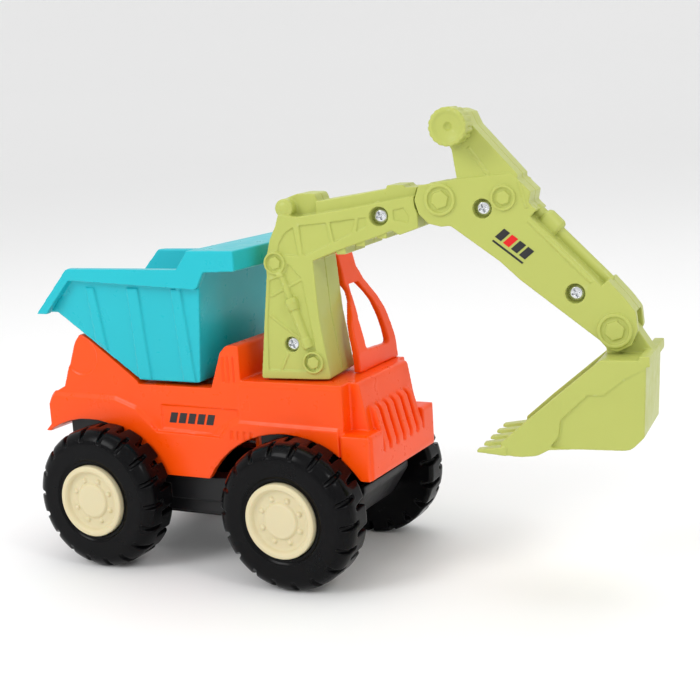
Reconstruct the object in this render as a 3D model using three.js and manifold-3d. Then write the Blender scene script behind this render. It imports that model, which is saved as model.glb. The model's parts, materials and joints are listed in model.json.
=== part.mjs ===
// Toy dump truck with an excavator arm: a free-rolling moulded truck, a tipping hopper, and a
// two-part digging arm on a swivelling post. Millimetres, +Z up, +X forward, +Y to the truck's left.
import * as THREE from 'three';
import { mergeVertices } from 'three/addons/utils/BufferGeometryUtils.js';
import Module from 'manifold-3d';

const wasm = await Module();
wasm.setup();

// ---------------------------------------------------------------- driving dimensions, mm
const WHEEL_RADIUS = 29;
const WHEELBASE = 88;
const TYRE_INNER = 30;          // distance of the tyre's inner wall from the centre plane
const TYRE_OUTER = 46;
const HUB_FACE = 47.5;
const HUB_RADIUS = 14.7;
const AXLE_RADIUS = 1.5;
const LUGS = 18;

const BODY_HALF = 28.5;         // half width of the moulded body's side walls
const DOOR_HALF = 28.8;         // half width over the cab's side panels
const FLARE_HALF = 29.7;        // half width over the fender flares
const WALL = 1.9;
const DECK = 78;                // height of the cab deck
const BED = 71.5;               // height of the floor under the hopper
const SEAT_RAIL = 74.4;         // height of the two side rails beside the hopper

const HINGE_X = -56;            // hopper hinge
const HINGE_Z = 85.5;
const HINGE_PIN_RADIUS = 1.25;

const POST_X = 40.5;            // vertical swivel axis of the arm
const POST_Y = -11;
const REST_SWING = 6;           // degrees that the arm points to the left at rest
const POST_HALF = 13.6;         // half thickness of the arm at its foot
const STICK_HALF = 8.25;        // half thickness of the outer arm
const CHEEK_INNER = 4.9;        // half gap between the outer arm's cheeks
const SEAM = 0.15;              // half gap between the two moulded halves
const ELBOW = [59.4, 145.3];    // along the arm and up, from the swivel axis
const WRIST = [121.3, 97.9];
const BUCKET_HALF = 18;
const KNOB = [66.2, 171.4];

const SCREW_SHANK = 1.2;
const SCREW_HEAD = 2.9;

// ---------------------------------------------------------------- materials
function plastic(color, roughness) {
  return new THREE.MeshStandardMaterial({ color, roughness, metalness: 0 });
}

const orange = plastic(0xff5a00, 0.35);
const cyan = plastic(0x33bfd0, 0.35);
const olive = plastic(0xbfc468, 0.4);
const black = plastic(0x141416, 0.35);
const cream = plastic(0xe8dcb8, 0.45);
const steel = new THREE.MeshStandardMaterial({ color: 0xb8bcc4, roughness: 0.25, metalness: 1 });

// ---------------------------------------------------------------- solids
function solid(geometry) {
  geometry.deleteAttribute('normal');
  geometry.deleteAttribute('uv');
  const merged = mergeVertices(geometry, 1e-4);
  const mesh = new wasm.Mesh({
    numProp: 3,
    vertProperties: new Float32Array(merged.attributes.position.array),
    triVerts: new Uint32Array(merged.index.array),
  });
  return new wasm.Manifold(mesh);
}

// Matrices that lay an outline (u, v) and its depth w onto the planes across each axis.
const FRAMES = {
  x: (to) => new THREE.Matrix4().set(0, 0, 1, to, 1, 0, 0, 0, 0, 1, 0, 0, 0, 0, 0, 1),
  z: (to) => new THREE.Matrix4().set(1, 0, 0, 0, 0, 1, 0, 0, 0, 0, 1, to, 0, 0, 0, 1),
};

// An outline is a list of [u, v] corners; a third number rounds that corner.
function rounded(outline) {
  const points = [];
  outline.forEach(([u, v, radius], i) => {
    const corner = new THREE.Vector2(u, v);
    if (!radius) {
      points.push(corner);
      return;
    }
    const last = outline[(i + outline.length - 1) % outline.length];
    const next = outline[(i + 1) % outline.length];
    const back = new THREE.Vector2(last[0], last[1]).sub(corner);
    const ahead = new THREE.Vector2(next[0], next[1]).sub(corner);
    const cut = Math.min(radius, 0.45 * back.length(), 0.45 * ahead.length());
    const start = corner.clone().addScaledVector(back.normalize(), cut);
    const end = corner.clone().addScaledVector(ahead.normalize(), cut);
    const bend = new THREE.QuadraticBezierCurve(start, corner, end);
    points.push(...bend.getPoints(2));
  });
  return points;
}

// A straight prism of an outline: (y, z) across x, (x, z) across y, (x, y) across z.
function prism(axis, outline, from, to) {
  const shape = new THREE.Shape(rounded(outline));
  const geometry = new THREE.ExtrudeGeometry(shape, { depth: to - from, bevelEnabled: false, steps: 1 });
  if (axis === 'y') {
    geometry.rotateX(Math.PI / 2);
    geometry.translate(0, to, 0);
  } else {
    geometry.applyMatrix4(FRAMES[axis](from));
  }
  return solid(geometry);
}

function circle(u, v, radius, sides = 24, turn = 0) {
  const points = [];
  for (let i = 0; i < sides; i += 1) {
    const angle = turn + (2 * Math.PI * i) / sides;
    points.push([u + radius * Math.cos(angle), v + radius * Math.sin(angle)]);
  }
  return points;
}

function rod(axis, u, v, radius, from, to, sides = 24) {
  return prism(axis, circle(u, v, radius, sides), from, to);
}

function box(x0, x1, y0, y1, z0, z1) {
  return prism('z', [[x0, y0], [x1, y0], [x1, y1], [x0, y1]], z0, z1);
}

// A ring turned about the Y axis through (x, z); the profile lists [radius, y].
function turned(profile, x, z, sides = 32) {
  const geometry = new THREE.LatheGeometry(profile.map(([r, y]) => new THREE.Vector2(r, y)), sides);
  geometry.translate(x, 0, z);
  return solid(geometry);
}

function mirrored(body) {
  return body.mirror([0, 1, 0]);
}

function both(body) {
  return body.add(mirrored(body));
}

function piece(parent, name, body, material) {
  const mesh = body.getMesh();
  const geometry = new THREE.BufferGeometry();
  geometry.setAttribute('position', new THREE.BufferAttribute(new Float32Array(mesh.vertProperties), 3));
  geometry.setIndex(new THREE.BufferAttribute(new Uint32Array(mesh.triVerts), 1));
  geometry.computeVertexNormals();
  const node = new THREE.Mesh(geometry, material);
  node.name = name;
  parent.add(node);
}

// ---------------------------------------------------------------- truck body
const SWIVEL_HOLE = 7.4;
const SCREW_PLACES = [[-22, 13], [-22, -13], [19, 13], [19, -13]];
const REAR_ARCH = [-55, 18.5, 40];
const FRONT_ARCH = [38.2, 17, 41];
const SILL = 37.5;
const BUMPER = 75.5;            // front face of the bumper
const GRILLE_HALF = 22.2;       // half width of the block that carries the louvres

// Side view of the whole body, from the tail round to the bumper.
const BODY_PROFILE = [
  [-79.8, 51.7], [-77, 51.7], [-70, SILL - 8], [-62, SILL], [62, SILL], [71, 42], [BUMPER, 42, 1.5],
  [BUMPER, 59.5, 1.5], [71, 59.5], [67.8, DECK, 1.5], [19.5, DECK], [19.5, BED], [-67.8, BED], [-73.6, 68.6],
  [-75.4, 65.5], [-75.4, 56],
];

function arches(half) {
  const cuts = [REAR_ARCH, FRONT_ARCH].map(([x, z, radius]) => {
    return rod('y', x, z, radius, -half, half, 48);
  });
  return cuts[0].add(cuts[1]);
}

function fenderFlares() {
  const flare = prism('y', [
    [-75.6, 48], [-75.6, 64], [-73, 67.6], [-41, 67.4], [-31, 64], [-21, 55.4], [9, 54.8], [14, 59.5], [18, 61.2],
    [62, 60.6], [62, SILL], [-62, SILL],
  ], -FLARE_HALF, FLARE_HALF);
  const door = prism('y', [[18.5, 58], [18.5, 76.4], [64.6, 76.4], [64.6, 58]], -DOOR_HALF, DOOR_HALF);
  const bumper = prism('y', [[63, 44], [63, 59], [BUMPER - 0.8, 59], [BUMPER - 0.8, 42], [70, 42]], -30.2, 30.2);
  return flare.add(door).add(bumper);
}

function hump() {
  return prism('y', [
    [-67.6, BED - 2], [-67.2, 72], [-60.2, 91, 2], [-56.6, 94.6, 1.6], [-50, 90.6], [-30, 75.9], [-29, SEAT_RAIL],
    [6, SEAT_RAIL], [6, BED - 2],
  ], 21.2, BODY_HALF);
}

function bulkhead() {
  const block = prism('y', [
    [5.6, BED - 2], [5.9, 74.4], [11, 88.6], [14, 91.8, 1.2], [19.6, 91.8, 1], [19.6, BED],
  ], -BODY_HALF, BODY_HALF);
  const grooves = [11.6, 14, 16.4].map((x) => both(box(x, x + 1, BODY_HALF - 0.7, 30, 77, 87.5)));
  return grooves.reduce((body, groove) => body.subtract(groove), block);
}

function louvres() {
  const profile = [[68.3, 68.4], [70.4, 68.2], [72, 66.6], [BUMPER, 53.4], [BUMPER, 51], [71.2, 51]];
  const spacing = 6.3;
  let body = null;
  for (let i = 0; i < 6; i += 1) {
    const y = (i - 2.5) * spacing;
    const louvre = prism('y', profile, y - 2, y + 2);
    body = body ? body.add(louvre) : louvre;
  }
  return body;
}

function bodyCavity() {
  const low = 20;
  const rear = prism('y', [
    [-73.6, low], [-73.6, 65], [-71.8, 67.4], [-67, BED - WALL], [17.6, BED - WALL], [17.6, low],
  ], -BODY_HALF + WALL, BODY_HALF - WALL);
  const hood = prism('y', [
    [17, low], [17, DECK - 2], [61.8, DECK - 2], [61.8, 56], [68.6, 56], [71.6, 48.6], [73, 45], [73, low],
  ], -BODY_HALF + WALL, BODY_HALF - WALL);
  const grille = prism('y', [
    [60, DECK - 2], [65.8, DECK - 2], [68.8, 57], [60, 57],
  ], -GRILLE_HALF + WALL, GRILLE_HALF - WALL);
  return rear.add(hood).add(grille);
}

function screwPosts() {
  const posts = SCREW_PLACES.map(([x, y]) => rod('z', x, y, 3.4, 40.4, x > 0 ? DECK - 1 : BED - 1, 12));
  return posts.reduce((all, post) => all.add(post));
}

function bodyShell() {
  let body = prism('y', BODY_PROFILE, -BODY_HALF, BODY_HALF).add(fenderFlares());
  // The corners beside the grille are cut back, and its lower end is let into the bumper.
  const frontCorner = box(63.8, 80, GRILLE_HALF, 34, 59.5, DECK + 2);
  const louvrePocket = prism('y', [[71.4, 60.5], [74.6, 51], [80, 51], [80, 60.5]], -18.6, 18.6);
  body = body.subtract(both(frontCorner)).subtract(louvrePocket);
  body = body.subtract(arches(40)).subtract(bodyCavity());
  body = body.add(both(hump())).add(bulkhead()).add(louvres()).add(screwPosts());
  SCREW_PLACES.forEach(([x, y]) => {
    body = body.subtract(rod('z', x, y, SCREW_SHANK + 0.1, 39, 51, 8));
  });
  const sidePanel = prism('y', [[-19, 56.6], [5, 55.4], [12, 60.4], [17.6, 62.6], [17.6, 66.4], [-19, 66.6]], 27.9, 30);
  const archGrooves = [14, 17, 20, 23].map((x) => box(x, x + 1.2, FLARE_HALF - 0.6, 31, 54, 58));
  archGrooves.forEach((groove) => {
    body = body.subtract(both(groove));
  });
  body = body.subtract(both(sidePanel));
  body = body.subtract(rod('z', POST_X, POST_Y, SWIVEL_HOLE, DECK - 5, DECK + 3, 24));
  body = body.subtract(both(rod('y', HINGE_X, HINGE_Z, HINGE_PIN_RADIUS + 0.1, 20, 26.4, 12)));
  FRAME_PEGS.forEach(([x, y]) => {
    body = body.subtract(rod('z', x, y, 1.35, DECK - 5, DECK + 3, 12));
  });
  return body;
}

// ---------------------------------------------------------------- windscreen frame
const FRAME_PEGS = [[59.6, -1.4], [59.6, 24.6]];

function windscreenFrame() {
  // The pillars bow forward and lean back up to the roof block.
  const lean = prism('y', [
    [61, DECK + 0.1], [60.4, 86], [58.9, 92], [56.7, 99], [54.2, 104], [51.9, 108], [50.2, 111.4], [49.6, 115],
    [47.6, 123.2, 1], [43, 123.2, 1], [43, 117], [45.6, 112.6], [48.6, 109.6], [50.8, 106.4], [52.8, 102.4],
    [54.6, 97.6], [56.4, 91.6], [57.6, 85.6], [58, DECK + 0.1],
  ], -6, 31);
  const outside = prism('x', [
    [-6.4, DECK - 1], [-5.8, 92], [-3.8, 97.5], [0, 102], [3.2, 105], [5.3, 108.4], [5.3, 125], [18.2, 125], [18.2, 117],
    [20.6, 113.5], [23.4, 109], [25.6, 104], [27.2, 97], [28.2, 88], [28.6, DECK - 1],
  ], 40, 64);
  const opening = prism('x', [
    [1.6, 86, 1.5], [2.4, 98], [6.2, 106], [8.6, 110.8], [16.4, 110.8], [20.2, 103], [21.6, 95], [21.9, 85, 2],
  ], 40, 64);
  const pegs = FRAME_PEGS.map(([x, y]) => rod('z', x, y, 1.2, DECK - 1.8, DECK + 1, 12));
  return lean.intersect(outside).subtract(opening).add(pegs[0]).add(pegs[1]);
}

// ---------------------------------------------------------------- chassis
// The tall walls on both sides close the wheel wells off from the space inside.
function chassisBase() {
  const pan = prism('y', [
    [-67, 34, 3], [-58, 20.5, 3], [-26, 18.6], [26, 18.6], [58, 20.5, 3], [67, 34, 3], [67, 36.8], [-67, 36.8],
  ], -20, 20);
  const upper = box(-60, 60, -26.2, 26.2, 33, 37);
  const steps = both(box(-22, 22, 19, 24.6, 21.2, 28)).add(both(box(-19, 19, 19, 26.2, 27, 33.4)));
  const hollow = prism('y', [
    [-64, 34], [-56.8, 22.4], [56.8, 22.4], [64, 34], [64, 40], [-64, 40],
  ], -18, 18);
  const wells = both(box(-69, -38, 22.4, 24.2, 34, 60).add(box(24.5, 60, 22.4, 24.2, 34, 60)));
  let body = pan.add(upper).add(steps).subtract(hollow).add(wells);
  WHEEL_PLACES.forEach((x) => {
    body = body.add(box(x - 5, x + 5, -26, 26, 22, 36.8));
  });
  SCREW_PLACES.forEach(([x, y]) => {
    body = body.add(rod('z', x, y, 4.4, 20, 40, 12));
    body = body.subtract(rod('z', x, y, SCREW_HEAD + 0.5, 15, 33, 12));
    body = body.subtract(rod('z', x, y, SCREW_SHANK + 0.3, 32, 41, 8));
  });
  WHEEL_PLACES.forEach((x) => {
    body = body.subtract(rod('y', x, WHEEL_RADIUS, AXLE_RADIUS + 0.2, -30, 30, 12));
  });
  return body;
}

function chassisScrew(x, y) {
  const head = rod('z', x, y, SCREW_HEAD, 31, 32.9, 12);
  const shank = rod('z', x, y, SCREW_SHANK, 32.5, 49, 8);
  return head.add(shank);
}

// ---------------------------------------------------------------- wheels
const WHEEL_PLACES = [WHEELBASE / 2, -WHEELBASE / 2];

// A toothed ring with one lug flat on the floor, so the toy rests on flat faces.
function lugRing(x, from, to) {
  const pitch = (2 * Math.PI) / LUGS;
  const root = WHEEL_RADIUS - 1.9;
  const tip = WHEEL_RADIUS / Math.cos(0.38 * pitch);
  const outline = [];
  for (let i = 0; i < LUGS; i += 1) {
    [[-0.44, root], [-0.38, tip], [0.38, tip], [0.44, root]].forEach(([step, radius]) => {
      const angle = -Math.PI / 2 + (i + step) * pitch;
      outline.push([x + radius * Math.cos(angle), WHEEL_RADIUS + radius * Math.sin(angle)]);
    });
  }
  return prism('y', outline, from, to);
}

function tyre(x) {
  const lugs = lugRing(x, TYRE_INNER + 1.4, TYRE_OUTER - 1.4);
  const seat = HUB_RADIUS - 1.4;
  const core = turned([
    [seat, TYRE_INNER], [WHEEL_RADIUS - 5, TYRE_INNER], [WHEEL_RADIUS - 3, TYRE_INNER + 1.6],
    [WHEEL_RADIUS - 3, TYRE_OUTER - 1.6], [WHEEL_RADIUS - 5, TYRE_OUTER], [HUB_RADIUS + 0.3, TYRE_OUTER],
    [HUB_RADIUS + 0.3, TYRE_OUTER - 3], [seat, TYRE_OUTER - 3], [seat, TYRE_INNER],
  ], x, WHEEL_RADIUS, 24);
  const bore = rod('y', x, WHEEL_RADIUS, seat + 0.1, TYRE_INNER - 1, TYRE_OUTER + 1, 24);
  const lipSeat = rod('y', x, WHEEL_RADIUS, HUB_RADIUS + 0.3, TYRE_OUTER - 3, TYRE_OUTER + 1, 24);
  return core.add(lugs).subtract(bore).subtract(lipSeat);
}

function hub(x) {
  const barrel = HUB_RADIUS - 1.6;
  const body = turned([
    [0, TYRE_INNER + 1], [barrel, TYRE_INNER + 1], [barrel, TYRE_OUTER - 2.8], [HUB_RADIUS, TYRE_OUTER - 2.8],
    [HUB_RADIUS, HUB_FACE - 0.5], [HUB_RADIUS - 0.6, HUB_FACE], [HUB_RADIUS - 1.8, HUB_FACE],
    [HUB_RADIUS - 2.8, HUB_FACE - 1.7], [6.2, HUB_FACE - 1.9], [5.6, HUB_FACE - 0.9], [0, HUB_FACE - 0.9],
  ], x, WHEEL_RADIUS, 24);
  return body.subtract(rod('y', x, WHEEL_RADIUS, AXLE_RADIUS + 0.05, TYRE_INNER, TYRE_OUTER - 3, 16));
}

// ---------------------------------------------------------------- hopper
const RIM = 122;
const RIM_HALF = 34.4;
const CANOPY_TOP = 129.4;
const CANOPY_FRONT = 24.2;

// The tub narrows towards its floor, so side views are cut to this cross-section.
function taper(offset) {
  return prism('x', [
    [-27 - offset, 70], [27 + offset, 70], [32.9 + offset, RIM + 10], [-32.9 - offset, RIM + 10],
  ], -90, 40);
}

function hopper() {
  const outer = [
    [-28.4, 76, 2], [-65.6, 103.4], [-72.9, 103.2], [-56, RIM], [3.4, RIM], [6.4, CANOPY_TOP - 0.6],
    [8, CANOPY_TOP - 0.6], [6.3, 119], [0.4, 76, 1],
  ];
  const inner = [
    [-27.6, 77.8, 2], [-64.8, 105.2], [-78, 105.2], [-78, 140], [-0.6, 140], [-0.6, 110], [-1.4, 77.8, 1],
  ];
  const band = [
    [-73.3, 103.2], [-56, RIM, 1], [-2.4, RIM], [3.4, CANOPY_TOP, 1], [CANOPY_FRONT, CANOPY_TOP, 1],
    [CANOPY_FRONT, 121.4], [10, 121], [8.6, 118.4], [6.4, 114.2, 1.5], [-55.4, 117.2], [-65.4, 106.3], [-68, 103.2],
  ];
  let body = prism('y', outer, -36, 36).intersect(taper(0));
  body = body.subtract(prism('y', inner, -36, 36).intersect(taper(-1.9)));
  const sideBand = prism('y', band, 31.6, RIM_HALF).add(
    prism('y', [[-56, 119], [-56, RIM], [-2.4, RIM], [3.4, CANOPY_TOP], [6, CANOPY_TOP], [6, 119]], 30.6, 33),
  );
  const canopy = box(3, CANOPY_FRONT, -RIM_HALF, RIM_HALF, CANOPY_TOP - 1.8, CANOPY_TOP);
  const visor = box(CANOPY_FRONT - 1.8, CANOPY_FRONT, -RIM_HALF, RIM_HALF, 121.4, CANOPY_TOP);
  const ribs = [[-48.6, -44.6, -46.6, -41.4], [-28.3, -23, -28.6, -22.4], [-7.3, -2.6, -6.9, -1.2]].map(
    ([a, b, c, d]) => both(prism('y', [[a, 114], [b, 114], [d, 76.4], [c, 76.4]], 25, 36)),
  ).reduce((all, rib) => all.add(rib));
  const ribHold = prism('y', [[-64, 106], [-56, 116], [6, 116], [1, 76.2], [-28.2, 76.2]], -36, 36);
  body = body.add(ribs.intersect(taper(1)).intersect(ribHold).subtract(taper(-1)));
  body = body.add(both(sideBand)).add(canopy).add(visor);
  const lug = prism('y', [
    [HINGE_X - 3.4, HINGE_Z - 2, 1.5], [HINGE_X + 3.4, HINGE_Z - 3, 1.5], [HINGE_X + 14, 90.6], [HINGE_X + 3, 97.4],
    [HINGE_X - 6, 104.4],
  ], 13, 17);
  body = body.add(both(lug));
  return body.subtract(rod('y', HINGE_X, HINGE_Z, HINGE_PIN_RADIUS + 0.2, -20, 20, 12));
}

// ---------------------------------------------------------------- inner arm (boom)
const BOOM_OUTLINE = [
  [-14, DECK + 0.8, 1], [-11.6, 101.7], [-9.7, 119], [-9.8, 124.3], [-7.6, 132.4], [-5, 137.4], [-3.2, 143],
  [-3, 147, 1.4], [2.6, 149, 1.4], [9.8, 148.8, 1.2], [10.7, 145.9], [23.9, 147.6], [38.4, 149.6], [39, 151],
  [44.8, 151], [45.8, 150], [50.4, 150], [50.4, 135.2], [43.4, 132.8], [40.4, 134.6], [36.4, 132.9], [20.4, 128],
  [9.6, 124], [11.1, 102], [14.6, DECK + 0.8, 1],
];
const BOOM_HOLLOW = [
  [-11.6, 81.2], [-9.3, 101.7], [-7.4, 119], [-7.4, 125], [-5, 133], [-2, 138.2], [8, 139], [24, 140.9],
  [38, 143], [44, 143.8], [44, 137.5], [36, 135.2], [20, 130.4], [7.6, 126.2], [8.8, 102], [12.2, 81.2],
];
const BOOM_SCREWS = [[-0.9, 92.1, 3.4], [36, 139.9, 4]];

// Seen from the front the arm narrows upwards; seen from above it narrows towards the elbow.
function boomWidths() {
  const front = prism('x', [
    [-POST_HALF, 70], [POST_HALF, 70], [11.6, 130], [11.2, 160], [-11.2, 160], [-11.6, 130],
  ], -20, 80);
  const plan = prism('z', [
    [-20, -POST_HALF], [-20, POST_HALF], [6, POST_HALF], [51, 7.6], [80, 7.6], [80, -7.6], [51, -7.6], [6, -POST_HALF],
  ], 70, 160);
  return front.intersect(plan);
}

function boomBody() {
  const arm = prism('y', BOOM_OUTLINE, -POST_HALF, POST_HALF).intersect(boomWidths());
  // The band along the top is set in from the side faces, most at the shoulder's hump.
  const band = prism('y', [[-6, 160], [-6, 142], [4, 140.6], [23.5, 142.9], [50.6, 147.1], [50.6, 160]], -20, 20);
  const hump = box(-8, 11.6, -6.4, 6.4, 130, 170);
  const strip = box(11, 60, -20, 20, 130, 170).intersect(boomWidths().scale([1, 0.78, 1]));
  const tabs = [[19, 126.2], [26.6, 129], [34.8, 131.6]].map(([x, z]) => {
    return box(x, x + 3.6, -boomFace(x, z) + 1, boomFace(x, z) - 1, z, z + 5);
  }).reduce((all, tab) => all.add(tab));
  const tongue = prism('y', [[48, 139.5], [48, 149.8], [ELBOW[0], 151.3], [ELBOW[0], 139.3]], -4.4, 4.4);
  const knuckle = rod('y', ELBOW[0], ELBOW[1], 6.6, -4.4, 4.4, 20);
  const hollow = prism('y', BOOM_HOLLOW, -POST_HALF, POST_HALF).intersect(
    boomWidths().scale([1, 0.8, 1]),
  );
  const shell = arm.subtract(band).add(arm.intersect(band).intersect(hump.add(strip))).add(tabs);
  const clearance = rod('y', ELBOW[0], ELBOW[1], 10.2, -20, 20, 28);
  return shell.subtract(hollow).subtract(clearance).add(tongue).add(knuckle);
}

function screwBosses(places, face) {
  return places.map(([x, z, recess]) => rod('y', x, z, recess + 1.2, -face(x, z), -SEAM, 14).add(
    rod('y', x, z, 3.2, SEAM, face(x, z) - 1, 10),
  )).reduce((all, boss) => all.add(boss));
}

function boomFace(x, z) {
  const front = POST_HALF - ((POST_HALF - 11.6) * (z - 70)) / 60;
  const plan = x < 6 ? POST_HALF : POST_HALF - ((POST_HALF - 7.6) * (x - 6)) / 45;
  return Math.min(front, plan);
}

function stickFace() {
  return STICK_HALF;
}

function screwHoles(places, face) {
  return places.map(([x, z, recess]) => {
    const floor = face(x, z) - 3.4;
    const mouth = rod('y', x, z, recess - 0.4, -20, -floor, 14);
    const hole = rod('y', x, z, SCREW_SHANK + 0.3, -floor - 1, SEAM * 2, 8);
    return mouth.add(hole).add(rod('y', x, z, SCREW_SHANK + 0.1, 0, 4.2, 8));
  }).reduce((all, cut) => all.add(cut));
}

function armScrew(x, z, face) {
  const floor = face(x, z) - 3.4;
  return rod('y', x, z, SCREW_HEAD, -floor - 1.7, -floor - 0.1, 14).add(
    rod('y', x, z, SCREW_SHANK, -floor - 0.5, 3.6, 8),
  );
}

function boomTrim() {
  // Moulded cylinder, pivot bosses and end cap in low relief on the side faces.
  const bosses = [[-5.9, 123.4, 4.4], [8, 85.4, 4.3]].map(([x, z, r]) => {
    return rod('y', x, z, r, 8, boomFace(x, z) + 1, 14);
  });
  const cap = rod('y', -1.4, 143.8, 3.6, 4, 10.6, 14);
  const ram = prism('y', [[-5.4, 119.4], [-2.6, 119.4], [6.4, 88.6], [3.6, 88.6]], 8, boomFace(0, 100) + 0.5);
  return both(bosses[0].add(bosses[1]).add(cap).add(ram));
}

function boomHalves() {
  const foot = rod('z', 0, 0, 9.4, DECK + 2.8, DECK + 7, 24);
  let body = boomBody().add(boomTrim());
  body = body.add(screwBosses(BOOM_SCREWS, boomFace).intersect(boomWidths().add(rod('y', 0, 92, 9, -14, 14))));
  body = body.subtract(screwHoles(BOOM_SCREWS, boomFace)).subtract(foot);
  body = body.subtract(rod('z', 0, 0, 6.9, DECK - 1, DECK + 4, 24));
  body = body.subtract(rod('y', ELBOW[0], ELBOW[1], 3.5, -10, 10, 16));
  const right = body.intersect(box(-30, 90, -30, -SEAM, 0, 200));
  const left = body.intersect(box(-30, 90, SEAM, 30, 0, 200));
  return [right, left];
}

// Hub that carries the post: a flange held inside the post and a spigot down through the deck.
function swivelHub() {
  const flange = rod('z', 0, 0, 9.1, DECK + 3.1, DECK + 6.7, 24);
  const spigot = rod('z', 0, 0, 6.6, DECK - 2.5, DECK + 4, 24);
  return flange.add(spigot).subtract(rod('z', 0, 0, SCREW_SHANK + 0.1, DECK - 4, DECK + 4, 12));
}

function swivelWasher() {
  return rod('z', 0, 0, 9.4, DECK - 3.9, DECK - 2.8, 24).subtract(rod('z', 0, 0, 1.6, DECK - 5, DECK, 12));
}

function swivelScrew() {
  const head = rod('z', 0, 0, SCREW_HEAD, DECK - 5.8, DECK - 4.1, 16);
  return head.add(rod('z', 0, 0, SCREW_SHANK, DECK - 4.5, DECK + 3, 10));
}

// ---------------------------------------------------------------- outer arm (stick)
const STICK_OUTLINE = [
  [51.3, 150.6, 0.6], [66.1, 152.6], [86, 153.9, 1], [92.7, 147.2], [91.9, 143.4], [96.6, 139.2],
  [99.6, 140.6], [103.2, 136.8], [102.4, 133.8],
  [116.5, 118.7], [125, 109.2], [128.6, 104.4, 1], [129.2, 98], [127, 92.6], [121.9, 90.2], [118.4, 91.4],
  [116, 94.2], [87.9, 116], [80.8, 122.6], [62.8, 135.8, 1], [59.4, 135.5], [54.6, 136.7], [51, 140.3], [49.6, 145.3],
];
const STICK_HOLLOW = [
  [68.5, 149.8], [85.4, 151.7], [90.3, 146.4], [89.6, 142.6], [97.2, 137.4], [101.2, 133], [112, 120.6],
  [108.5, 103.4], [89.2, 118.2], [82, 124.7], [68.5, 134.6],
];
const LEVER_HOLLOW = [[68.6, 149], [67.2, 163], [69.8, 167.4], [85, 151]];
const STICK_SCREWS = [[74.9, 141.7, 4], [107.6, 111, 4]];
const LEVER_OUTLINE = [
  [66.1, 150], [64.3, 163], [61, 168], [60.4, 172], [62.6, 176], [66.2, 177.6, 1], [70.2, 176], [72.2, 171.4],
  [88.1, 153.4], [88, 150],
];

function stickBody() {
  const arm = prism('y', STICK_OUTLINE, -STICK_HALF, STICK_HALF);
  const lever = prism('y', LEVER_OUTLINE, -STICK_HALF + 0.6, STICK_HALF - 0.6);
  const trough = prism('y', [[92.6, 142.6], [97, 138.6], [117.6, 114.8], [124, 118], [103, 142], [94, 148]], 5, 12);
  const collar = prism('y', [[96.2, 138.6], [100.6, 142], [104.4, 137.4], [100.2, 133.6]], -6.4, 6.4);
  const hollow = prism('y', STICK_HOLLOW, -STICK_HALF + 1.9, STICK_HALF - 1.9);
  const leverHollow = prism('y', LEVER_HOLLOW, -STICK_HALF + 2.4, STICK_HALF - 2.4);
  return arm.subtract(both(trough)).add(collar.intersect(arm)).add(lever).subtract(hollow).subtract(leverHollow);
}

function stickTrim() {
  const bosses = [[...ELBOW, 5.8], [82.8, 145.4, 4.6], [...WRIST, 6.2]].map(([x, z, r]) => {
    return rod('y', x, z, r, STICK_HALF - 1, STICK_HALF + 0.9, 14);
  });
  return both(bosses[0].add(bosses[1]).add(bosses[2]));
}

// Room between the cheeks for the inner arm's tongue and for the bucket's lug.
function stickForks() {
  const elbow = rod('y', ELBOW[0], ELBOW[1], 7.4, -CHEEK_INNER, CHEEK_INNER, 20).add(prism('y', [
    [40, 160], [ELBOW[0] + 1, 160], [ELBOW[0] + 1, 130], [40, 130],
  ], -CHEEK_INNER, CHEEK_INNER));
  const wrist = rod('y', WRIST[0], WRIST[1], 9.6, -CHEEK_INNER, CHEEK_INNER, 20);
  return elbow.add(wrist);
}

function stickPegs(sign) {
  const from = SEAM;
  const pegs = rod('y', ELBOW[0], ELBOW[1], 3.2, from, STICK_HALF - 1, 16).add(
    rod('y', WRIST[0], WRIST[1], 2.6, from, STICK_HALF - 1, 12),
  );
  return sign > 0 ? pegs : mirrored(pegs);
}

function stickHalves() {
  let body = stickBody().add(stickTrim()).add(screwBosses(STICK_SCREWS, stickFace));
  body = body.subtract(stickForks()).add(stickPegs(1)).add(stickPegs(-1));
  body = body.subtract(screwHoles(STICK_SCREWS, stickFace));
  body = body.subtract(rod('y', KNOB[0], KNOB[1], 1.8, -20, -1, 12));
  const right = body.intersect(box(40, 140, -30, -SEAM, 0, 200));
  const left = body.intersect(box(40, 140, SEAM, 30, 0, 200));
  return [right, left];
}

function leverKnob() {
  const outline = [];
  const teeth = 18;
  for (let i = 0; i < teeth; i += 1) {
    [[0, 6.9], [0.45, 6.9], [0.6, 6.2]].forEach(([step, radius]) => {
      const angle = ((i + step) * 2 * Math.PI) / teeth;
      outline.push([KNOB[0] + radius * Math.cos(angle), KNOB[1] + radius * Math.sin(angle)]);
    });
  }
  const grip = prism('y', outline, -18.6, -8.9);
  const stem = rod('y', KNOB[0], KNOB[1], 1.5, -10, -3, 12);
  const collar = rod('y', KNOB[0], KNOB[1], 3.4, -9.4, -8, 16);
  return grip.add(collar).add(stem).subtract(rod('y', KNOB[0], KNOB[1], 1.2, -20, -17.4, 12));
}

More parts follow.
